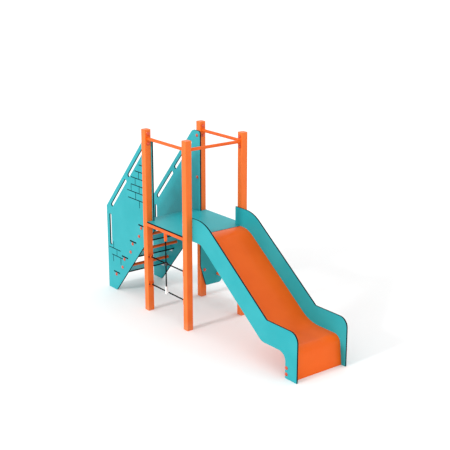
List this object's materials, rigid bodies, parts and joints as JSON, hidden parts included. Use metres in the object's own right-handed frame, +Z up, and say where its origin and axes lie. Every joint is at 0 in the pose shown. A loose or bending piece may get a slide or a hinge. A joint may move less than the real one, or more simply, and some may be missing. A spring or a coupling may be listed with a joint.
{
  "type": "straight slide play tower",
  "caption": "Small play tower: a straight slide from a square deck, stairs behind, a rope climber on one side and a rung climber on the other.",
  "frame": {"origin": "middle of the foot of the post between the stairs and the rope climber, at ground level", "axes": "+X from the stairs through the tower to the end of the slide, +Y from the rope climber to the rung climber, +Z up"},
  "size_m": [4.0773, 1.225, 2.49],
  "materials": {
    "orange_post_paint": "satin powder coat",
    "orange_tube_paint": "satin powder coat",
    "teal_board": "fine matt skin over a black core",
    "orange_chute": "smooth satin",
    "orange_bolt_caps": "moulded gloss",
    "zinc_steel": "zinc plated",
    "black_rope": "braided cover over steel strands",
    "black_plastic": "moulded",
    "white_plastic": "moulded",
    "dark_screws": "black oxide"
  },
  "bodies": {
    "root": {"climber_board_bolts": "orange_bolt_caps", "climber_board_slide_end": "teal_board", "climber_board_stair_end": "teal_board", "climber_rung_1": "orange_tube_paint", "climber_rung_2": "orange_tube_paint", "climber_rung_3": "orange_tube_paint", "climber_rung_4": "orange_tube_paint", "climber_rung_bolts": "orange_bolt_caps", "deck_beam_climber_side": "orange_tube_paint", "deck_beam_rope_side": "orange_tube_paint", "deck_board": "teal_board", "deck_joist_1": "orange_tube_paint", "deck_joist_2": "orange_tube_paint", "deck_joist_3": "orange_tube_paint", "post_slide_climber_side": "orange_post_paint", "post_slide_rope_side": "orange_post_paint", "post_stair_climber_side": "orange_post_paint", "post_stair_rope_side": "orange_post_paint", "rope_cross_clamp": "black_plastic", "rope_drop": "black_rope", "rope_hanger": "orange_tube_paint", "rope_lower": "black_rope", "rope_socket_bolts": "dark_screws", "rope_socket_lower_slide_end": "orange_tube_paint", "rope_socket_lower_stair_end": "orange_tube_paint", "rope_socket_upper_slide_end": "orange_tube_paint", "rope_socket_upper_stair_end": "orange_tube_paint", "rope_tee": "white_plastic", "rope_upper": "black_rope", "slide_bearer_1": "zinc_steel", "slide_bearer_2": "zinc_steel", "slide_bearer_3": "zinc_steel", "slide_bearer_4": "zinc_steel", "slide_bearer_5": "zinc_steel", "slide_bed": "orange_chute", "slide_board_bolts": "dark_screws", "slide_board_climber_side": "teal_board", "slide_board_rope_side": "teal_board", "slide_foot_angles": "zinc_steel", "slide_foot_bolts": "orange_bolt_caps", "stair_bar_1": "orange_tube_paint", "stair_bar_2": "orange_tube_paint", "stair_bar_3": "orange_tube_paint", "stair_bar_bolts": "orange_bolt_caps", "stair_board_bolts": "orange_bolt_caps", "stair_board_climber_side": "teal_board", "stair_board_rope_side": "teal_board", "stair_tread_1": "teal_board", "stair_tread_2": "teal_board", "stair_tread_3": "teal_board", "stair_tread_4": "teal_board", "top_rail_bolts": "orange_bolt_caps", "top_rail_climber_side": "orange_tube_paint", "top_rail_over_slide": "orange_tube_paint", "top_rail_rope_side": "orange_tube_paint", "tread_angles": "zinc_steel", "tread_bolts": "orange_bolt_caps"}
  },
  "joints": []
}
